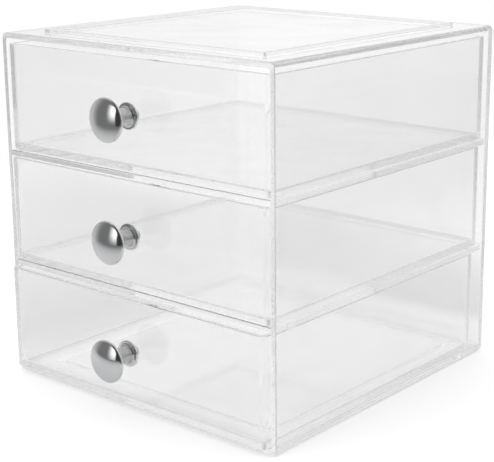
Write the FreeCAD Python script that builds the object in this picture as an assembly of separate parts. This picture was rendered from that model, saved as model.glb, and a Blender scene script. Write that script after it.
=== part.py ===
import FreeCAD, Part
import os
from math import hypot

# A clear moulded organizer: one housing with three open-fronted bays, two snap-in shelves,
# and three open-topped drawers, each pulled by a plated knob held on with one screw.
# Millimetres. X is to the right seen from the front, Y is to the back, Z is up.
# The origin is the middle of the housing's footprint, on the surface that it stands on.

# ---- housing ----
housing_width = 164.0
housing_depth = 165.0
housing_height = 165.0           # to the top panel; the stacking step stands above it
wall = 2.6                       # sides, back and top
floor_thickness = 3.0
outer_round = 2.5                # long edges and back edges
front_round = 0.6                # thin edges round the open front
inner_round = 1.2                # inside edges of the cavity

# ---- stacking rim: a ridge round the top panel, with a groove of the same plan below ----
rim_height = 1.4
rim_thickness = 2.4
rim_inset_side = 15.3
rim_inset_front = 12.3           # also at the back
rim_corner_round = 0.8
rim_edge_round = 0.3
stacking_clearance = 0.4         # each side of the rim of a unit below
stacking_headroom = 0.2          # above the rim of a unit below

# ---- shelves ----
shelf_thickness = 2.6
top_bay_spare = 1.8              # the top bay is this much higher than the two below it
shelf_gap = 0.1                  # at its sides and back
shelf_corner_cut = 2.5           # clears the rounded back corners inside the housing
tongue_depth = 0.9
tongue_thickness = 1.0
tongue_setback = 15.0            # from the open front
lug_setback = 9.0                # from the open front
lug_length = 5.0
snap_clearance = 0.1             # round a tongue or lug in its groove or pocket

# ---- drawers ----
drawer_length = 158.6
drawer_wall = 2.3
drawer_side_gap = 0.5
drawer_running_gap = 0.3         # under the floor of the drawer
drawer_rim_gap = 0.5             # above its rim, in the two lower bays
drawer_corner_round = 2.0        # upright edges, outside
drawer_base_round = 1.0          # edges round the underside
drawer_inner_round = 1.5
drawer_rim_round = 0.5
stands_out = {"bottom": 4.0, "middle": 0.9, "top": -0.6}   # front face beyond the housing's

# ---- knobs ----
knob_height = 24.8               # axis above the underside of the drawer
flange_radius = 6.05
flange_thickness = 1.3
flange_round = 0.5
neck_base_radius = 4.6
neck_radius = 3.9
neck_narrowest = 7.6             # from the drawer front
cap_radius = 9.8
cap_rim_place = 13.4             # widest circle of the cap, from the drawer front
cap_rim_round = 1.2              # radius of the rolled rim
cap_crown_height = 3.6           # crown above the widest circle
cap_neck_radius = 5.1            # where the neck meets the underside of the cap
cap_neck_place = 11.4            # the same, from the drawer front
thread_depth = 8.0

# ---- knob screws and washers ----
screw_radius = 1.5
screw_thread_length = 6.5        # in the knob
screw_head_radius = 2.8
screw_head_height = 2.2
screw_head_round = 0.9
driver_slot_length = 3.2
driver_slot_width = 0.7
driver_slot_depth = 1.2
thread_clearance = 0.05
screw_hole_clearance = 0.2
washer_radius = 3.6
washer_thickness = 0.6

front_y = -housing_depth / 2
back_inside_y = housing_depth / 2 - wall
inside_half_width = housing_width / 2 - wall
inside_height = housing_height - wall - floor_thickness
bay_height = (inside_height - 2 * shelf_thickness - top_bay_spare) / 3   # of the two lower bays
bay_pitch = bay_height + shelf_thickness
drawer_width = 2 * (inside_half_width - drawer_side_gap)
drawer_height = bay_height - drawer_running_gap - drawer_rim_gap
bay_floor = {
    "bottom": floor_thickness,
    "middle": floor_thickness + bay_pitch,
    "top": floor_thickness + 2 * bay_pitch,
}
shelf_level = {"lower": bay_floor["middle"], "upper": bay_floor["top"]}   # top faces
overcut = 5.0                    # how far a cutting tool runs past an open side
same_place = 1e-6                # positions nearer than this are the same


def block(x_low, x_high, y_low, y_high, z_low, z_high):
    """A box between two opposite corners."""
    corner = FreeCAD.Vector(x_low, y_low, z_low)
    return Part.makeBox(x_high - x_low, y_high - y_low, z_high - z_low, corner)


def centred_block(width, depth, z_low, z_high):
    """A box on the middle of the footprint."""
    return block(-width / 2, width / 2, -depth / 2, depth / 2, z_low, z_high)


def edges_where(shape, wanted):
    """The edges whose middle point passes the test."""
    found = []
    for edge in shape.Edges:
        middle = edge.valueAt((edge.FirstParameter + edge.LastParameter) / 2)
        if wanted(middle, edge):
            found.append(edge)
    return found


def runs_upright(edge):
    """True for a straight edge along Z."""
    start, end = edge.Vertexes[0].Point, edge.Vertexes[-1].Point
    return abs(start.x - end.x) < same_place and abs(start.y - end.y) < same_place


def turned(profile_edges):
    """A profile of radius along X and distance along -Y, turned about the Y axis."""
    face = Part.Face(Part.Wire(profile_edges))
    return face.revolve(FreeCAD.Vector(0, 0, 0), FreeCAD.Vector(0, 1, 0), 360)


def profile_point(radius, out):
    """A point of a turned profile: its radius, and how far it stands out from the drawer front."""
    return FreeCAD.Vector(radius, -out, 0)


def line(start, end):
    return Part.makeLine(profile_point(*start), profile_point(*end))


def arc(start, middle, end):
    return Part.Arc(profile_point(*start), profile_point(*middle), profile_point(*end)).toShape()


def on_circle(radius, across, along):
    """The point of a circle about the origin that lies in the given direction."""
    reach = hypot(across, along)
    return radius * across / reach, radius * along / reach


def snap_feature(side, setback, length, thickness, level, grow):
    """A tongue or lug on one side of a shelf; grow is the clearance of its groove or pocket."""
    middle_z = level - shelf_thickness / 2
    root = inside_half_width - tongue_depth
    reach = inside_half_width + tongue_depth + grow
    x_low, x_high = sorted((side * root, side * reach))
    return block(
        x_low, x_high,
        front_y + setback - grow, front_y + setback + length + grow,
        middle_z - thickness / 2 - grow, middle_z + thickness / 2 + grow,
    )


def snap_features(level, grow):
    """The two lugs and two tongues of one shelf, or the pockets and grooves that take them."""
    tongue_length = housing_depth - wall - shelf_gap - shelf_corner_cut - tongue_setback
    features = []
    for side in (-1, 1):
        features.append(snap_feature(side, lug_setback, lug_length, shelf_thickness, level, grow))
        features.append(
            snap_feature(side, tongue_setback, tongue_length, tongue_thickness, level, grow)
        )
    return features


def ring(grow, z_low, z_high):
    """The plan of the stacking rim, grown on both its sides, between two heights."""
    width = housing_width - 2 * rim_inset_side
    depth = housing_depth - 2 * rim_inset_front
    outer = centred_block(width + 2 * grow, depth + 2 * grow, z_low, z_high)
    outer = outer.makeFillet(rim_corner_round, edges_where(outer, lambda m, e: runs_upright(e)))
    shrink = 2 * (rim_thickness + grow)
    inner = centred_block(width - shrink, depth - shrink, z_low, z_high)
    return outer.cut(inner)


def make_housing():
    """The one-piece shell: five walls, the stacking rim, and the grooves for the shelves."""
    shell = centred_block(housing_width, housing_depth, 0, housing_height)
    long_and_back = edges_where(shell, lambda m, e: m.y > front_y + same_place)
    shell = shell.makeFillet(outer_round, long_and_back)

    rim_top = housing_height + rim_height
    rim = ring(0, housing_height - wall / 2, rim_top)
    rim = rim.makeFillet(rim_edge_round, edges_where(rim, lambda m, e: m.z > rim_top - same_place))
    shell = shell.fuse(rim)

    cavity = block(
        -inside_half_width, inside_half_width, front_y - overcut, back_inside_y,
        floor_thickness, housing_height - wall,
    )
    cavity = cavity.makeFillet(inner_round, edges_where(cavity, lambda m, e: m.y > front_y))
    groove = ring(stacking_clearance, -overcut, rim_height + stacking_headroom)
    cutters = [cavity, groove]
    for level in shelf_level.values():
        cutters += snap_features(level, snap_clearance)
    for cutter in cutters:
        shell = shell.cut(cutter)

    front_edges = edges_where(shell, lambda m, e: abs(m.y - front_y) < same_place)
    return shell.makeFillet(front_round, front_edges).removeSplitter()


def make_shelf(level):
    """A plate between two bays, with a tongue and a lug on each side."""
    half_width = inside_half_width - shelf_gap
    plate = block(
        -half_width, half_width, front_y, back_inside_y - shelf_gap,
        level - shelf_thickness, level,
    )
    back_corners = edges_where(plate, lambda m, e: runs_upright(e) and m.y > 0)
    plate = plate.makeFillet(shelf_corner_cut, back_corners)
    front_edges = edges_where(
        plate, lambda m, e: abs(m.y - front_y) < same_place and not runs_upright(e)
    )
    plate = plate.makeFillet(front_round, front_edges)
    for feature in snap_features(level, 0):
        plate = plate.fuse(feature)
    return plate.removeSplitter()


def make_drawer(bay):
    """An open-topped tray with a screw hole in the middle of its front."""
    tray_front = front_y - stands_out[bay]
    underside = bay_floor[bay] + drawer_running_gap
    rim = underside + drawer_height
    half_width = drawer_width / 2
    tray = block(
        -half_width, half_width, tray_front, tray_front + drawer_length, underside, rim
    )
    tray = tray.makeFillet(drawer_corner_round, edges_where(tray, lambda m, e: runs_upright(e)))
    tray = tray.makeFillet(
        drawer_base_round, edges_where(tray, lambda m, e: m.z < underside + same_place)
    )
    hollow = block(
        -half_width + drawer_wall, half_width - drawer_wall,
        tray_front + drawer_wall, tray_front + drawer_length - drawer_wall,
        underside + drawer_wall, rim + overcut,
    )
    hollow = hollow.makeFillet(drawer_inner_round, edges_where(hollow, lambda m, e: m.z < rim))
    tray = tray.cut(hollow)
    tray = tray.makeFillet(drawer_rim_round, edges_where(tray, lambda m, e: m.z > rim - same_place))
    screw_hole = Part.makeCylinder(
        screw_radius + screw_hole_clearance, 2 * drawer_wall,
        FreeCAD.Vector(0, tray_front - drawer_wall / 2, underside + knob_height),
        FreeCAD.Vector(0, 1, 0),
    )
    return tray.cut(screw_hole)


def make_knob():
    """A mushroom knob with a flange, turned about its axis, with a blind threaded hole.

    The crown is a sphere centred on the axis, and it runs smoothly into the rolled rim.
    """
    rim_centre = cap_radius - cap_rim_round
    rim_back = (rim_centre, cap_rim_place - cap_rim_round)
    crown_radius = (rim_centre**2 + cap_crown_height**2 - cap_rim_round**2) / (
        2 * (cap_crown_height - cap_rim_round)
    )
    crown_top = cap_rim_place + cap_crown_height
    crown_centre = crown_top - crown_radius
    across, along = on_circle(crown_radius, rim_centre, cap_rim_place - crown_centre)
    shoulder = (across, crown_centre + along)
    half_across, half_along = on_circle(crown_radius, across, along + crown_radius)
    crown_middle = (half_across, crown_centre + half_along)

    flange_corner = (flange_radius, flange_thickness - flange_round)
    flange_inner = (flange_radius - flange_round, flange_thickness)
    across, along = on_circle(flange_round, 1, 1)
    flange_middle = (flange_inner[0] + across, flange_corner[1] + along)
    neck_base = (neck_base_radius, flange_thickness)
    neck_top = (cap_neck_radius, cap_neck_place)
    bore = screw_radius + thread_clearance
    return turned([
        line((bore, 0), (flange_radius, 0)),
        line((flange_radius, 0), flange_corner),
        arc(flange_corner, flange_middle, flange_inner),
        line(flange_inner, neck_base),
        arc(neck_base, (neck_radius, neck_narrowest), neck_top),
        line(neck_top, rim_back),
        arc(rim_back, (cap_radius, cap_rim_place), shoulder),
        arc(shoulder, crown_middle, (0, crown_top)),
        line((0, crown_top), (0, thread_depth)),
        line((0, thread_depth), (bore, thread_depth)),
        line((bore, thread_depth), (bore, 0)),
    ])


def make_washer():
    """A flat washer against the inside of the drawer front."""
    back = FreeCAD.Vector(0, drawer_wall, 0)
    along = FreeCAD.Vector(0, 1, 0)
    disc = Part.makeCylinder(washer_radius, washer_thickness, back, along)
    hole = Part.makeCylinder(screw_radius + screw_hole_clearance, washer_thickness, back, along)
    return disc.cut(hole)


def make_screw():
    """A pan-head screw with a cross recess, from inside the drawer into the knob."""
    seat = drawer_wall + washer_thickness
    along = FreeCAD.Vector(0, 1, 0)
    head_end = seat + screw_head_height
    head = Part.makeCylinder(screw_head_radius, screw_head_height, FreeCAD.Vector(0, seat, 0), along)
    outer_edge = edges_where(
        head, lambda m, e: abs(m.y - head_end) < same_place and e.Length > screw_head_radius
    )
    head = head.makeFillet(screw_head_round, outer_edge)
    for half_x, half_z in (
        (driver_slot_length / 2, driver_slot_width / 2),
        (driver_slot_width / 2, driver_slot_length / 2),
    ):
        slot = block(-half_x, half_x, head_end - driver_slot_depth, head_end + overcut, -half_z, half_z)
        head = head.cut(slot)
    shank = Part.makeCylinder(
        screw_radius, screw_thread_length + seat,
        FreeCAD.Vector(0, -screw_thread_length, 0), along,
    )
    return head.fuse(shank).removeSplitter()


def on_drawer(shape, bay):
    """Moves a piece made about the knob axis onto the front of one drawer."""
    placed = shape.copy()
    axis_z = bay_floor[bay] + drawer_running_gap + knob_height
    placed.translate(FreeCAD.Vector(0, front_y - stands_out[bay], axis_z))
    return placed


def write(shape, node):
    shape.exportStep("parts/" + node + ".step")
    box = shape.optimalBoundingBox()
    print(
        node, "solids", len(shape.Solids), "valid", shape.isValid(),
        "volume %.0f" % shape.Volume,
        "x %.1f..%.1f y %.1f..%.1f z %.1f..%.1f"
        % (box.XMin, box.XMax, box.YMin, box.YMax, box.ZMin, box.ZMax),
    )


def main():
    os.makedirs("parts", exist_ok=True)
    write(make_housing(), "housing_shell")
    for name, level in shelf_level.items():
        write(make_shelf(level), "shelf_" + name)
    knob, washer, screw = make_knob(), make_washer(), make_screw()
    for bay in bay_floor:
        write(make_drawer(bay), "drawer_tray_" + bay)
        write(on_drawer(knob, bay), "knob_" + bay)
        write(on_drawer(washer, bay), "knob_washer_" + bay)
        write(on_drawer(screw, bay), "knob_screw_" + bay)


main()
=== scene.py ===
"""Dresses a clear moulded organizer with three drawers and plated knobs, and sets it in a studio.

The housing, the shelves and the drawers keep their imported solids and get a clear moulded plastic.
The knobs, their screws and their washers are new turned surfaces in plated metal.
Lengths are in metres. X is to the right seen from the front, Y is to the back, Z is up.
"""

from math import atan2, cos, pi, radians, sin

import bpy
import numpy as np
from bpy.props import FloatProperty, FloatVectorProperty, IntProperty, PointerProperty
from bpy.types import Operator, Panel, PropertyGroup
from mathutils import Matrix, Vector


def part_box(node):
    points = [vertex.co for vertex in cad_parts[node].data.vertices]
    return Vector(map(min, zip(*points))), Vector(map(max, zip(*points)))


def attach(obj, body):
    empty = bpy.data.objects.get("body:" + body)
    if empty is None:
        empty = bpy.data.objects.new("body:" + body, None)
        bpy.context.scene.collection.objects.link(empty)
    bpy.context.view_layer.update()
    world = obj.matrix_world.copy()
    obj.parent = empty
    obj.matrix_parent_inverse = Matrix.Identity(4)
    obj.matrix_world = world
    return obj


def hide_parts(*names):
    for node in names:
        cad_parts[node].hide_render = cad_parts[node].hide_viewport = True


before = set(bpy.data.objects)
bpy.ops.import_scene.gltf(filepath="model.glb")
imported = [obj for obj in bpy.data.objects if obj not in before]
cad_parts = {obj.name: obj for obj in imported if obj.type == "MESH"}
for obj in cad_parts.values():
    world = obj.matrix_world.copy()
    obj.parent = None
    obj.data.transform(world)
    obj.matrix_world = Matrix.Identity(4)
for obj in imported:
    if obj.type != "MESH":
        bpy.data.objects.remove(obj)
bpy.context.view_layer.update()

bl_info = {
    "name": "Clear drawer organizer",
    "version": (1, 0, 0),
    "blender": (4, 5, 0),
    "location": "View3D > Sidebar > Organizer",
    "description": "Finishes and studio for a clear organizer with drawers and plated knobs",
    "category": "Object",
}

BAYS = ("bottom", "middle", "top")

# Light runs a long way inside clear plates. Their edges turn black where its path is cut short.
LONG_PATH = 384

SENSOR_WIDTH = 36  # millimetres, which the lens setting goes by
NEAREST_SEEN = 0.01
TABLE_GAP = 0.0001  # the table lies this far below the object, so their faces never fall together
SHARP_EDGE = radians(40)  # a fold steeper than this isn't shaded smooth


# ---- shader expressions ----

class Value:
    """A shader socket in an expression. Arithmetic on it adds Math nodes."""

    def __init__(self, graph, socket):
        self.graph = graph
        self.socket = socket

    def math(self, operation, *operands):
        return self.graph.node("ShaderNodeMath", {"operation": operation}, dict(enumerate(operands)))

    def __add__(self, other):
        return self.math("ADD", self, other)

    def __radd__(self, other):
        return self.math("ADD", other, self)

    def __sub__(self, other):
        return self.math("SUBTRACT", self, other)

    def __rsub__(self, other):
        return self.math("SUBTRACT", other, self)

    def __mul__(self, other):
        return self.math("MULTIPLY", self, other)

    def __rmul__(self, other):
        return self.math("MULTIPLY", other, self)

    def or_larger(self, other):
        """The larger of two values."""
        return self.math("MAXIMUM", self, other)

    def between(self, low, high):
        """0 below low, 1 above high, and a smooth rise from one to the other."""
        return self.graph.node(
            "ShaderNodeMapRange", {"interpolation_type": "SMOOTHSTEP"},
            {"Value": self, "From Min": low, "From Max": high},
        )


class Graph:
    """The emptied node tree of one material or world, with its output node."""

    def __init__(self, owner, end="ShaderNodeOutputMaterial"):
        owner.use_nodes = True
        self.tree = owner.node_tree
        self.tree.nodes.clear()
        self.end = self.tree.nodes.new(end)

    def node(self, kind, settings=None, inputs=None, output=0):
        """Adds a node: first its settings, then the values or links of its sockets."""
        made = self.tree.nodes.new(kind)
        for name, setting in (settings or {}).items():
            setattr(made, name, setting)
        for name, given in (inputs or {}).items():
            self.put(made.inputs[name], given)
        return Value(self, made.outputs[output])

    def put(self, socket, given):
        """Links a value to a socket, or sets the socket's own number or colour."""
        if isinstance(given, Value):
            self.tree.links.new(given.socket, socket)
        else:
            socket.default_value = given

    def surface(self, shader):
        """Sends a shader to the surface."""
        self.put(self.end.inputs["Surface"], shader)

    def body(self, shader):
        """Sends a shader to the inside."""
        self.put(self.end.inputs["Volume"], shader)

    def noise(self, scale, detail=2.0, roughness=0.5):
        """Cloudy noise from 0 to 1 at the place on the piece, with about scale clouds to a metre."""
        place = self.node("ShaderNodeTexCoord", output="Object")
        return self.node("ShaderNodeTexNoise", inputs={
            "Vector": place, "Scale": scale, "Detail": detail, "Roughness": roughness,
        })

    def colour_mix(self, factor, first, second):
        """first where factor is 0, second where it is 1."""
        factor_socket, first_colour, second_colour, mixed_colour = 0, 6, 7, 2
        inputs = {factor_socket: factor, first_colour: (*first, 1.0), second_colour: (*second, 1.0)}
        return self.node("ShaderNodeMix", {"data_type": "RGBA"}, inputs, output=mixed_colour)

    def bump(self, height, distance):
        """A normal from a height of 0 to 1 that stands for a distance in metres."""
        return self.node("ShaderNodeBump", inputs={"Height": height, "Distance": distance, "Strength": 1.0})

    def ray(self, kind):
        """1 for rays of one kind, such as "Is Camera Ray", and 0 for others."""
        return self.node("ShaderNodeLightPath", output=kind)

    def mirrored(self):
        """1 for rays that a smooth surface threw back, and 0 for those that it let through."""
        return self.ray("Is Glossy Ray") * (1 - self.ray("Is Transmission Ray"))

    def thrown_back(self):
        """1 for rays that a smooth surface has thrown back at least once on their way, and 0 for others."""
        return self.ray("Glossy Depth").between(0.0, 1.0)


# ---- finishes ----

def clear_plastic(settings):
    """Clear moulded plastic: faint waves from the mould's flow, and a trace of handling."""
    material = bpy.data.materials.new("clear_moulded_plastic")
    graph = Graph(material)
    waves = graph.noise(settings.waves_per_metre, detail=1.0)
    smudges = graph.noise(45.0, detail=4.0, roughness=0.6).between(0.52, 0.78)
    tint = Vector(settings.tint)
    smudged_tint = tint * 0.985
    graph.surface(graph.node("ShaderNodeBsdfPrincipled", inputs={
        "Base Color": graph.colour_mix(smudges, tint, smudged_tint),
        "Roughness": settings.roughness + smudges * settings.smudge_roughness,
        "IOR": settings.refraction,
        "Transmission Weight": settings.clarity,
        "Normal": graph.bump(waves, settings.wave_height),
    }))
    graph.body(graph.node("ShaderNodeVolumeAbsorption", inputs={
        "Color": (*settings.body_colour, 1.0), "Density": settings.body_density,
    }))
    return material


def chrome_plating(settings):
    """Bright plating with a faint ripple, a few wiped smears, and painted shade in the hollow round the neck.
    """
    material = bpy.data.materials.new("bright_chrome_plating")
    graph = Graph(material)
    smears = graph.noise(160.0, detail=5.0, roughness=0.65).between(0.45, 0.8)
    ripple = graph.noise(90.0, detail=1.0)
    hollow = graph.node("ShaderNodeAttribute", {"attribute_name": "hollow"}, output="Fac")
    smear_dulled, smear_roughness, ripple_height = 0.07, 0.05, 0.00002
    # Painted shade: the plating is mixed towards black in the hollow round the neck; the real wiped smears
    # darken it a little as well.
    darkened = smears * smear_dulled + hollow * settings.neck_painted_shade
    colour = Vector(settings.chrome_colour)
    graph.surface(graph.node("ShaderNodeBsdfPrincipled", inputs={
        "Base Color": graph.colour_mix(darkened, colour, colour * 0),
        "Metallic": 1.0,
        "Roughness": settings.chrome_roughness + smears * smear_roughness,
        "Normal": graph.bump(ripple, ripple_height),
    }))
    return material


def zinc_plating(settings):
    """Bright zinc on steel: cloudy, slightly blue, with a fine grain."""
    material = bpy.data.materials.new("bright_zinc_plating")
    graph = Graph(material)
    clouds = graph.noise(700.0, detail=3.0)
    grain = graph.noise(6000.0, detail=2.0)
    colour = Vector(settings.zinc_colour)
    darker = colour * 0.85
    smoothest, cloud_roughness, grain_height = 0.24, 0.16, 0.000008
    graph.surface(graph.node("ShaderNodeBsdfPrincipled", inputs={
        "Base Color": graph.colour_mix(clouds, darker, colour),
        "Metallic": 1.0,
        "Roughness": smoothest + clouds * cloud_roughness,
        "Normal": graph.bump(grain, grain_height),
    }))
    return material


def studio_white(settings):
    """A white table top that reaches pure white on view, and keeps the object's shadow.

    Through the plastic it is a little greyer, with a painted shadow in a band just behind and to the
    left of the object, and a painted pool of the light that the clear walls gather under the object.
    In the plating it darkens smoothly towards the far front and the right. Places are in metres from
    the middle of the housing.
    """
    material = bpy.data.materials.new("studio_white")
    graph = Graph(material)
    place = graph.node("ShaderNodeTexCoord", output="Object")
    across = graph.node("ShaderNodeSeparateXYZ", inputs={0: place}, output="X")
    along = graph.node("ShaderNodeSeparateXYZ", inputs={0: place}, output="Y")
    right = across.between(0.1, 0.35)
    left = (0 - across).between(0.05, 0.3)
    near = along.between(-0.4, -0.1) * (1 - right) * (1 - settings.table_left_dimmed * left)
    # Painted light: a lit patch on the table under the object, added to what is seen through the plastic.
    inner, outer = settings.footprint - 0.012, settings.footprint + 0.004
    under = (
        across.between(-outer, -inner) * (1 - across.between(inner, outer))
        * along.between(-outer, -inner) * (1 - along.between(inner, outer))
    )
    # Painted shadow: the light added through the plastic is dimmed in a band just behind and to the left of
    # the object.
    away = (along * 3 - 0.27).or_larger(0 - across)
    band = away.between(0.07, 0.13) * (1 - away.between(0.25, 0.55))
    cleared = graph.ray("Is Transmission Ray")
    mirrored = graph.mirrored()
    far_right = right * graph.thrown_back() * settings.table_right_dimmed
    dim = mirrored * (1 - near) + cleared * far_right
    through = settings.table_through * (1 - settings.table_painted_shadow * band)
    lift = (
        graph.ray("Is Camera Ray") * settings.table_lift
        + cleared * (1 - far_right) * (through + under * settings.table_gathered)
        + mirrored * near * settings.table_mirrored
    )
    pale, dark = (Vector((level,) * 3) for level in (settings.table_shade, settings.room_dark))
    graph.surface(graph.node("ShaderNodeBsdfPrincipled", inputs={
        "Base Color": graph.colour_mix(dim, pale, dark),
        "Roughness": 0.9,
        "Specular IOR Level": 0.0,
        "Emission Color": (1.0, 1.0, 1.0, 1.0),
        "Emission Strength": lift,
    }))
    return material


def studio_world(settings):
    """White on view, and an even light on matt things, with a room for reflections.

    Straight through the plastic the backdrop is white, and a little greyer at the far left. Light
    that is thrown back inside the plastic also sees a dimmer room at the right and in front.
    Reflections on it and in the plating see a dark room in front, with a window, a darker doorway to
    its right and a lighter wall at the left, and the pale backdrop behind. Limits are parts of a
    direction of length 1.
    """
    world = bpy.data.worlds.new("studio")
    graph = Graph(world, "ShaderNodeOutputWorld")
    direction = graph.node("ShaderNodeTexCoord", output="Generated")
    to_right = graph.node("ShaderNodeSeparateXYZ", inputs={0: direction}, output="X")
    to_back = graph.node("ShaderNodeSeparateXYZ", inputs={0: direction}, output="Y")
    to_up = graph.node("ShaderNodeSeparateXYZ", inputs={0: direction}, output="Z")
    left_wall = (0 - to_right).between(0.0, 0.3) * to_back.between(-0.65, -0.05)
    doorway = to_right.between(0.03, 0.09) * (1 - to_back.between(-0.5, 0.0))
    window = (
        to_right.between(-0.45, -0.05) * (1 - to_right.between(0.03, 0.09))
        * to_up.between(-0.3, 0.3) * (1 - to_up.between(0.47, 0.55)) * (1 - to_back.between(-0.5, -0.4))
    )
    behind = to_back.between(0.45, 0.7) * (1 - to_right.between(0.1, 0.4))
    room = (
        settings.room_dark * (1 - settings.doorway_dimmed * doorway)
        + (settings.room_left - settings.room_dark) * left_wall
    )
    reflected = (
        room + (settings.window_level - room) * window + (settings.backdrop_mirrored - room) * behind
    )
    thrown_back = graph.thrown_back()
    backdrop = (
        settings.backdrop_through * (1 - settings.backdrop_left_dimmed * (0 - to_right).between(0.6, 0.9))
        + (settings.room_right - settings.backdrop_through) * to_right.between(-0.6, 0.6) * thrown_back
    )
    overhead = to_up.between(0.05, 0.5)
    in_front = (0 - to_back).between(0.1, 0.5) * thrown_back
    through = (backdrop + (1 - backdrop) * overhead) * (1 - settings.room_front_dimmed * in_front)
    seen = graph.ray("Is Camera Ray")
    cleared = graph.ray("Is Transmission Ray")
    mirrored = graph.mirrored()
    others = (1 - seen - cleared - mirrored) * settings.sky_level
    strength = seen + cleared * through + mirrored * reflected + others
    graph.surface(graph.node("ShaderNodeBackground", inputs={
        "Color": (1.0, 1.0, 1.0, 1.0), "Strength": strength,
    }))
    return world


# ---- surfaces ----

def arc_points(centre, radius, start, end, count):
    """Points of a circle: the centre plus the radius times cosine and sine of evenly spaced angles."""
    angles = np.linspace(start, end, count)
    return np.stack([centre[0] + radius * np.cos(angles), centre[1] + radius * np.sin(angles)], -1)


def arc_through(first, middle, last, count):
    """Points of the circle through three points, from the first to the last.

    Its centre is as far from the first point as from the other two, which gives two linear equations.
    """
    first, middle, last = (np.asarray(point, float) for point in (first, middle, last))
    sides = 2 * np.array([middle - first, last - first])
    centre = np.linalg.solve(sides, np.array([middle @ middle, last @ last]) - first @ first)
    across, along = (np.array([first, middle, last]) - centre).T
    angles = np.unwrap(np.arctan2(along, across))
    return arc_points(centre, np.linalg.norm(first - centre), angles[0], angles[-1], count)


def turned(radius, out, centre, around):
    """Rings of points about a line along Y through the centre.

    Each point is the centre plus its radius times cosine and sine of the turn, moved towards -Y by
    its distance out. The radius and the distance may also change round a ring.
    """
    turn = np.linspace(0, 2 * pi, around, endpoint=False)
    radius, out = np.broadcast_arrays(radius, out)
    ones = np.ones(around)
    return np.stack([
        centre[0] + radius * np.cos(turn), centre[1] - out * ones, centre[2] + radius * np.sin(turn),
    ], -1)


def surface_from_rings(name, rings, first_tip=None, last_tip=None, looped=False):
    """A mesh of quads between rings, closed round each ring.

    A tip is a point that closes an end with a fan of triangles. A looped surface also joins its
    last ring to its first.
    """
    count, around = rings.shape[:2]
    index = np.arange(count * around).reshape(count, around)
    if looped:
        index = np.concatenate([index, index[:1]])
    beside = np.roll(index, -1, 1)
    faces = np.stack([index[:-1], beside[:-1], beside[1:], index[1:]], -1).reshape(-1, 4).tolist()
    points = rings.reshape(-1, 3).tolist()
    for tip, ring, turned_over in ((first_tip, 0, True), (last_tip, -1, False)):
        if tip is not None:
            here, there = (beside, index) if turned_over else (index, beside)
            faces += [[a, b, len(points)] for a, b in zip(here[ring].tolist(), there[ring].tolist())]
            points.append(tip)
    mesh = bpy.data.meshes.new(name)
    mesh.from_pydata(points, [], faces)
    mesh.shade_smooth()
    mesh.set_sharp_from_angle(angle=SHARP_EDGE)
    return mesh


def knob_profile(settings):
    """Radius and distance out along a knob, from the edge of its foot to just short of its crown.

    The flange has a rounded edge and a hollow fillet up to the neck. The neck is a circle through
    three points, the cap's rim is rolled, and the crown is a sphere centred on the axis that runs
    smoothly into the rim.
    """
    rim = settings.cap_radius - settings.rim_round
    rise, roll = settings.crown_height, settings.rim_round
    crown = (rim**2 + rise**2 - roll**2) / (2 * (rise - roll))
    crown_centre = (0.0, settings.cap_place + rise - crown)
    shoulder = atan2(settings.cap_place - crown_centre[1], rim)
    edge = settings.flange_round
    flange_centre = (settings.flange_radius - edge, settings.flange_thickness - edge)
    fillet = settings.neck_fillet
    fillet_centre = (settings.neck_foot_radius + fillet, settings.flange_thickness + fillet)
    neck_foot = (settings.neck_foot_radius, settings.flange_thickness + fillet)
    neck_waist = (settings.neck_radius, settings.neck_waist)
    neck_top = (settings.neck_top_radius, settings.neck_top_place)
    return np.concatenate([
        [(settings.flange_radius - edge / 2, settings.seat_gap), (settings.flange_radius, edge / 4)],
        arc_points(flange_centre, edge, 0, pi / 2, 8),
        arc_points(fillet_centre, fillet, 3 * pi / 2, pi, 12),
        arc_through(neck_foot, neck_waist, neck_top, 32),
        arc_points((rim, settings.cap_place), roll, -pi / 2, shoulder, 20),
        arc_points(crown_centre, crown, shoulder, pi / 2, 40)[1:-1],
    ])


def knob_mesh(name, settings, centre):
    """A turned knob, closed flat at the foot and at the top of its crown.

    Its hollow attribute rises from 0 at the flange's face to 1 along the neck, and falls to 0 again
    behind the cap's rim. It marks where painted shade darkens the plating.
    """
    radius, out = knob_profile(settings).T
    rings = turned(radius[:, None], out[:, None], centre, settings.knob_sides)
    foot = (centre[0], centre[1] - out[0], centre[2])
    crown = (centre[0], centre[1] - settings.cap_place - settings.crown_height, centre[2])
    mesh = surface_from_rings(name, rings, foot, crown)
    rise = (out - settings.flange_thickness) / settings.neck_fillet
    fall = (settings.cap_place - out) / settings.rim_round
    # Mask of the painted shade round the neck.
    hollow = np.clip(np.minimum(rise, fall), 0, 1)
    values = np.append(np.repeat(hollow, settings.knob_sides), [0, 0])
    mesh.attributes.new("hollow", "FLOAT", "POINT").data.foreach_set("value", values)
    return mesh


def washer_mesh(name, settings, centre):
    """A flat ring: a rectangle with rounded corners, carried round the axis."""
    inner, outer, soft = settings.hole_radius, settings.washer_radius, settings.edge_round
    near, far = -settings.washer_thickness + soft, -soft
    profile = np.concatenate([
        arc_points((outer - soft, far), soft, 0, pi / 2, 5),
        arc_points((inner + soft, far), soft, pi / 2, pi, 5),
        arc_points((inner + soft, near), soft, pi, 3 * pi / 2, 5),
        arc_points((outer - soft, near), soft, 3 * pi / 2, 2 * pi, 5),
    ])
    radius, out = profile.T
    rings = turned(radius[:, None], out[:, None], centre, settings.screw_sides)
    return surface_from_rings(name, rings, looped=True)


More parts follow.
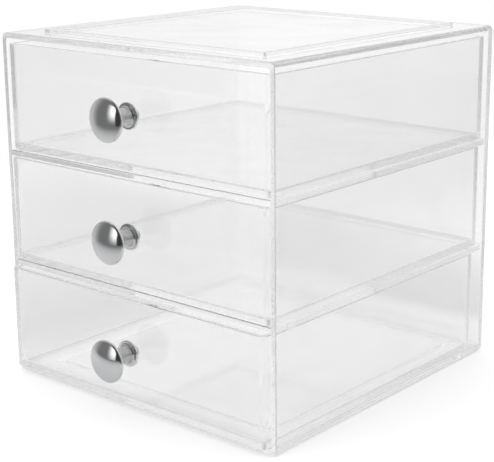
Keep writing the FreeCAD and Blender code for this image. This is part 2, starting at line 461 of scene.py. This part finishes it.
def screw_mesh(name, settings, centre):
    """A pan-head screw with a cross recess and a rolled thread, pointing to -Y.

    The head's face is a grid of radius and turn, whose height falls into two crossed tapering slots.
    The thread's radius is a rounded wave of the distance along the shank less the turn.
    """
    around = settings.screw_sides
    turn = np.linspace(0, 2 * pi, around, endpoint=False)
    head, height, soft = settings.head_radius, settings.head_height, settings.head_round

    face_radius = np.linspace(0.04, 1.0, 26)[:, None] * (head - soft)
    across, along = face_radius * np.cos(turn), face_radius * np.sin(turn)
    side_slope, end_slope = 1.6, 2.2
    slots = [
        np.clip(side_slope - side_slope * np.abs(side) / settings.slot_width, 0, 1)
        * np.clip(end_slope - end_slope * np.abs(length) / settings.slot_length, 0, 1)
        for side, length in ((2 * across, 2 * along), (2 * along, 2 * across))
    ]
    recess = settings.slot_depth * np.maximum(*slots)
    face_out = recess - height

    edge_radius, edge_out = arc_points((head - soft, soft - height), soft, -pi / 2, 0, 9).T
    under = [(head, 0.0), (settings.thread_radius, 0.0)]
    pitch, depth, rings_to_a_turn = settings.thread_pitch, settings.thread_depth, 8
    thread_out = np.arange(0.0, settings.shank_length, pitch / rings_to_a_turn)[1:, None]
    thread = settings.thread_radius - depth * (0.5 + 0.5 * np.cos(2 * pi * thread_out / pitch - turn)) ** 2

    radius = np.concatenate([
        face_radius * np.ones(around), edge_radius[1:, None] * np.ones(around),
        np.array([[r] for r, _ in under]) * np.ones(around), thread,
    ])
    out = np.concatenate([
        face_out, edge_out[1:, None] * np.ones(around),
        np.array([[o] for _, o in under]) * np.ones(around), thread_out * np.ones(around),
    ])
    rings = turned(radius, out, centre, around)
    middle = (centre[0], centre[1] + height - settings.slot_depth, centre[2])
    end = (centre[0], centre[1] - settings.shank_length, centre[2])
    return surface_from_rings(name, rings, middle, end)


# ---- sizes and colours ----

def size(name, description, default):
    """A length in metres that a user may change."""
    return FloatProperty(name=name, description=description, default=default, unit="LENGTH", precision=5)


def share(name, description, default, top=1.0):
    """A plain number from 0 up to a limit."""
    return FloatProperty(name=name, description=description, default=default, min=0.0, max=top)


def turn_angle(name, description, degrees):
    """An angle, given here in degrees."""
    return FloatProperty(name=name, description=description, default=radians(degrees), subtype="ANGLE")


def colour(name, description, default):
    """A linear colour."""
    return FloatVectorProperty(name=name, description=description, default=default, subtype="COLOR",
                               min=0.0, max=1.0)


def box_size(node, axis):
    """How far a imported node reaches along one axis."""
    low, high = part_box(node)
    return high[axis] - low[axis]


class OrganizerPlasticSettings(PropertyGroup):
    tint: colour("Tint", "Colour of light that has passed a surface", (0.992, 0.992, 0.992))
    body_colour: colour("Body colour", "Colour of light that has passed a long way inside", (0.5, 0.5, 0.5))
    body_density: share("Body density", "How fast light fades inside, to a metre", 0.2, 100.0)
    clarity: share("Clarity", "Share of light that a surface lets through clearly", 1.0)
    refraction: share("Refraction", "Index of refraction of the plastic", 1.57, 3.0)
    roughness: share("Roughness", "Roughness of the clean polished surface", 0.04)
    smudge_roughness: share("Smudge roughness", "What handling adds to the roughness", 0.02)
    waves_per_metre: share("Waves", "Flow waves to a metre", 22.0, 500.0)
    wave_height: size("Wave height", "Height of the flow waves", 0.00012)


class OrganizerKnobSettings(PropertyGroup):
    cap_radius: size("Cap radius", "Widest radius of the cap", box_size("knob_bottom", 0) / 2)
    cap_place: size("Cap place", "Widest circle of the cap, from the drawer front", 0.0134)
    crown_height: size("Crown height", "Crown above the widest circle", 0.0036)
    rim_round: size("Rim round", "Radius of the rolled rim", 0.0012)
    neck_fillet: size("Neck fillet", "Radius of the hollow where the neck meets the flange", 0.0011)
    neck_foot_radius: size("Neck foot", "Radius of the neck just above its fillet", 0.0041)
    neck_radius: size("Neck waist", "Radius of the neck at its narrowest", 0.0039)
    neck_waist: size("Waist place", "Narrowest place of the neck, from the drawer front", 0.0076)
    neck_top_radius: size("Neck top", "Radius of the neck under the cap", 0.0051)
    neck_top_place: size("Neck top place", "Top of the neck, from the drawer front", 0.0114)
    flange_radius: size("Flange radius", "Radius of the flange", 0.00605)
    flange_thickness: size("Flange thickness", "Thickness of the flange", 0.0013)
    flange_round: size("Flange round", "Radius of the flange's edge", 0.0005)
    seat_gap: size("Seat gap", "Air between the flange and the drawer front", 0.00002)
    knob_sides: IntProperty(name="Sides", description="Facets round a knob", default=128, min=16)
    chrome_colour: colour("Chrome", "Colour of the plating", (0.76, 0.765, 0.775))
    # Painted shade: how far the plating is darkened in the hollow round the neck.
    neck_painted_shade: share("Neck dulled", "How much darker the plating is in the hollow round the neck", 0.36)
    chrome_roughness: share("Chrome roughness", "Roughness of the clean plating", 0.06)


class OrganizerFastenerSettings(PropertyGroup):
    thread_radius: size("Thread radius", "Outside radius of the thread", 0.0015)
    thread_pitch: size("Thread pitch", "Distance from one thread to the next", 0.0005)
    thread_depth: size("Thread depth", "Depth of the rolled thread", 0.0003)
    shank_length: size("Shank length", "From under the head to the end", 0.0094)
    head_radius: size("Head radius", "Radius of the pan head", 0.0028)
    head_height: size("Head height", "Height of the pan head", 0.0022)
    head_round: size("Head round", "Radius of the head's edge", 0.0009)
    slot_length: size("Slot length", "Across the cross recess", 0.0032)
    slot_width: size("Slot width", "Width of each slot of the recess", 0.0009)
    slot_depth: size("Slot depth", "Depth of the recess in its middle", 0.0012)
    washer_radius: size("Washer radius", "Outside radius of a washer", box_size("knob_washer_bottom", 0) / 2)
    hole_radius: size("Hole radius", "Radius of the hole in a washer", 0.0017)
    washer_thickness: size("Washer thickness", "Thickness of a washer", box_size("knob_washer_bottom", 1))
    edge_round: size("Edge round", "Radius of a washer's edges", 0.00012)
    screw_sides: IntProperty(name="Sides", description="Facets round a screw or washer", default=64, min=16)
    zinc_colour: colour("Zinc", "Colour of the plating", (0.66, 0.68, 0.71))


class OrganizerStageSettings(PropertyGroup):
    azimuth: turn_angle("Azimuth", "Camera's turn to the right of the front", 39.56)
    elevation: turn_angle("Elevation", "Camera's height angle", 14.27)
    roll: turn_angle("Roll", "Camera's roll", -0.19)
    middle_height: size("Middle height", "Height of the middle of the housing", 0.0825)
    distance: size("Distance", "Camera's distance from the middle of the housing", 0.6349)
    aim_across: size("Aim across", "Middle of the housing right of the camera's line", -0.0126)
    aim_up: size("Aim up", "Middle of the housing above the camera's line", 0.0041)
    lens: share("Lens", "Focal length in millimetres on a 36 mm sensor", 95.17, 500.0)
    shift_across: FloatProperty(name="Shift across", description="Sideways lens shift", default=-0.0668)
    shift_up: FloatProperty(name="Shift up", description="Upward lens shift", default=-0.0486)
    table_shade: share("Table shade", "How pale the table is", 0.72)
    table_lift: share("Table lift", "Light added to the table on view", 0.52)
    table_through: share("Table through", "Light added to the table seen through the plastic", 0.4)
    # Painted shadow just behind and to the left of the object, seen through the plastic.
    table_painted_shadow: share("Table band dimmed", "Share of it lost just behind and to the left", 0.45)
    table_left_dimmed: share("Table left dimmed", "Share of light lost at the left in the plating", 0.3)
    table_right_dimmed: share("Table right dimmed", "Share of light lost far to the right there", 0.6)
    table_mirrored: share("Table mirrored", "Light added to the near table in the plating", 0.14)
    # Painted light under the object, seen through the plastic.
    table_gathered: share("Table gathered", "Light that the clear walls gather under the object", 0.37)
    footprint: size("Footprint", "Half the width of the lit patch below", box_size("housing_shell", 0) / 2)
    table_front: size("Table front", "Front and left edges of the table from the middle of the housing", 0.45)
    table_reach: size("Table reach", "Other edges of the table from the middle of the housing", 0.9)
    backdrop_through: share("Backdrop through", "Brightness of the backdrop through the plastic", 1.07, 2.0)
    backdrop_mirrored: share("Backdrop mirrored", "Brightness of the backdrop in reflections", 0.93)
    sky_level: share("Sky level", "Even light of the studio", 0.9, 10.0)
    room_dark: share("Room dark", "Reflected brightness of the room in front", 0.2)
    room_left: share("Room left", "Reflected brightness of the room at the left", 0.6)
    room_right: share("Room right", "Brightness of the room at the right, inside the plastic", 0.55)
    room_front_dimmed: share("Room front dimmed", "How much darker the front is, inside the plastic", 0.15)
    backdrop_left_dimmed: share("Backdrop left dimmed", "How much darker the far left is there", 0.16)
    doorway_dimmed: share("Doorway dimmed", "How much darker the doorway is than the room", 0.75)
    window_level: share("Window level", "Brightness of the window in front", 1.6, 10.0)


# ---- making and finishing the pieces ----

def seat_of(bay):
    """Where a knob's axis meets the face of its drawer."""
    low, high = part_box("knob_" + bay)
    return (low.x + high.x) / 2, high.y, (low.z + high.z) / 2


def finish_nodes(nodes, material):
    """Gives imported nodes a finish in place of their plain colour."""
    for node in nodes:
        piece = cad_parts[node]
        piece.data.materials.clear()
        piece.data.materials.append(material)


def add_piece(mesh, material, bay, node):
    """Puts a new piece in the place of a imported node, on its drawer."""
    mesh.materials.append(material)
    piece = bpy.data.objects.new(mesh.name, mesh)
    bpy.context.scene.collection.objects.link(piece)
    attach(piece, "drawer_" + bay)
    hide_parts(node)


def plastic_of(scene):
    """The clear plastic, made once."""
    made = bpy.data.materials.get("clear_moulded_plastic")
    return made or clear_plastic(scene.organizer_plastic)


class ORGANIZER_OT_housing(Operator):
    """Finish the housing and its shelves in clear plastic"""

    bl_idname = "organizer.housing"
    bl_label = "Housing and shelves"

    def execute(self, context):
        nodes = ("housing_shell", "shelf_lower", "shelf_upper")
        finish_nodes(nodes, plastic_of(context.scene))
        return {"FINISHED"}


class ORGANIZER_OT_drawers(Operator):
    """Finish the drawers in clear plastic"""

    bl_idname = "organizer.drawers"
    bl_label = "Drawers"

    def execute(self, context):
        nodes = ["drawer_tray_" + bay for bay in BAYS]
        finish_nodes(nodes, plastic_of(context.scene))
        return {"FINISHED"}


class ORGANIZER_OT_knobs(Operator):
    """Turn a plated knob for each drawer"""

    bl_idname = "organizer.knobs"
    bl_label = "Knobs"

    def execute(self, context):
        settings = context.scene.organizer_knobs
        material = chrome_plating(settings)
        for bay in BAYS:
            mesh = knob_mesh("turned_knob_" + bay, settings, seat_of(bay))
            add_piece(mesh, material, bay, "knob_" + bay)
        return {"FINISHED"}


class ORGANIZER_OT_fasteners(Operator):
    """Make a screw and a washer for each knob"""

    bl_idname = "organizer.fasteners"
    bl_label = "Screws and washers"

    def execute(self, context):
        settings = context.scene.organizer_fasteners
        material = zinc_plating(settings)
        for bay in BAYS:
            across, _, up = seat_of(bay)
            washer_low, washer_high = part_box("knob_washer_" + bay)
            washer = washer_mesh("flat_washer_" + bay, settings, (across, washer_low.y, up))
            screw = screw_mesh("machine_screw_" + bay, settings, (across, washer_high.y, up))
            add_piece(washer, material, bay, "knob_washer_" + bay)
            add_piece(screw, material, bay, "knob_screw_" + bay)
        return {"FINISHED"}


# ---- studio ----

def flat_piece(name, corners, material):
    """A flat four-cornered piece of the studio."""
    mesh = bpy.data.meshes.new(name)
    mesh.from_pydata(corners, [], [(0, 1, 2, 3)])
    mesh.materials.append(material)
    piece = bpy.data.objects.new(name, mesh)
    bpy.context.scene.collection.objects.link(piece)
    return piece


def lamp_panel(name, place, aim, width, height, level):
    """An even rectangular lamp whose face has the given brightness, unseen by the camera itself."""
    lamp = bpy.data.lights.new(name, "AREA")
    lamp.shape = "RECTANGLE"
    lamp.size, lamp.size_y = width, height
    lamp.energy = level * pi * width * height
    panel = bpy.data.objects.new(name, lamp)
    panel.location = place
    panel.rotation_euler = (Vector(aim) - Vector(place)).to_track_quat("-Z", "Y").to_euler()
    panel.visible_camera = False
    panel.visible_glossy = False
    bpy.context.scene.collection.objects.link(panel)
    return panel


def place_camera(settings):
    """A camera that looks at the middle of the housing from a turn and a height, with a small roll."""
    middle = Vector((0, 0, settings.middle_height))
    turn, rise, roll = settings.azimuth, settings.elevation, settings.roll
    back = Vector((sin(turn) * cos(rise), -cos(turn) * cos(rise), sin(rise)))
    level = Vector((cos(turn), sin(turn), 0))
    above = back.cross(level)
    right = level * cos(roll) + above * sin(roll)
    up = above * cos(roll) - level * sin(roll)
    place = middle + back * settings.distance - right * settings.aim_across - up * settings.aim_up
    data = bpy.data.cameras.new("studio_camera")
    data.sensor_width = SENSOR_WIDTH
    data.lens = settings.lens
    data.shift_x, data.shift_y = settings.shift_across, settings.shift_up
    data.clip_start = NEAREST_SEEN
    camera = bpy.data.objects.new("studio_camera", data)
    turned_axes = zip(right, up, back)
    camera.matrix_world = Matrix([(*row, at) for row, at in zip(turned_axes, place)] + [(0, 0, 0, 1)])
    bpy.context.scene.collection.objects.link(camera)
    bpy.context.scene.camera = camera


class ORGANIZER_OT_stage(Operator):
    """Set up the table, the light and the camera"""

    bl_idname = "organizer.stage"
    bl_label = "Studio"

    def execute(self, context):
        scene = context.scene
        settings = scene.organizer_stage
        near, far, below = -settings.table_front, settings.table_reach, -TABLE_GAP
        flat_piece("table_top", [
            (near, near, below), (far, near, below), (far, far, below), (near, far, below),
        ], studio_white(settings))
        lamp_panel(
            "front_window", place=(-0.12, -0.80, 0.36), aim=(0, -0.09, 0.12),
            width=0.34, height=0.60, level=settings.window_level,
        )
        scene.world = studio_world(settings)
        scene.view_settings.view_transform = "Standard"
        scene.cycles.max_bounces = LONG_PATH
        scene.cycles.transmission_bounces = LONG_PATH
        scene.cycles.diffuse_bounces = LONG_PATH
        scene.cycles.glossy_bounces = LONG_PATH
        place_camera(settings)
        return {"FINISHED"}


class ORGANIZER_PT_panel(Panel):
    """Lists the steps and the sizes that each of them uses"""

    bl_idname = "ORGANIZER_PT_panel"
    bl_label = "Clear drawer organizer"
    bl_space_type = "VIEW_3D"
    bl_region_type = "UI"
    bl_category = "Organizer"

    def draw(self, context):
        for group, operators in STEPS:
            settings = getattr(context.scene, group)
            box = self.layout.box()
            for operator in operators:
                box.operator(operator.bl_idname)
            for name in settings.__annotations__:
                box.prop(settings, name)


GROUPS = {
    "organizer_plastic": OrganizerPlasticSettings,
    "organizer_knobs": OrganizerKnobSettings,
    "organizer_fasteners": OrganizerFastenerSettings,
    "organizer_stage": OrganizerStageSettings,
}
STEPS = (
    ("organizer_plastic", (ORGANIZER_OT_housing, ORGANIZER_OT_drawers)),
    ("organizer_knobs", (ORGANIZER_OT_knobs,)),
    ("organizer_fasteners", (ORGANIZER_OT_fasteners,)),
    ("organizer_stage", (ORGANIZER_OT_stage,)),
)
CLASSES = (
    *GROUPS.values(), *(operator for _, operators in STEPS for operator in operators), ORGANIZER_PT_panel,
)


def register():
    """Adds the panel, the steps and their settings."""
    for made in CLASSES:
        bpy.utils.register_class(made)
    for name, group in GROUPS.items():
        setattr(bpy.types.Scene, name, PointerProperty(type=group))


def unregister():
    """Takes them away again."""
    for name in GROUPS:
        delattr(bpy.types.Scene, name)
    for made in reversed(CLASSES):
        bpy.utils.unregister_class(made)


def main():
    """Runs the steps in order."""
    register()
    bpy.ops.organizer.housing()
    bpy.ops.organizer.drawers()
    bpy.ops.organizer.knobs()
    bpy.ops.organizer.fasteners()
    bpy.ops.organizer.stage()


if __name__ == "__main__":
    main()
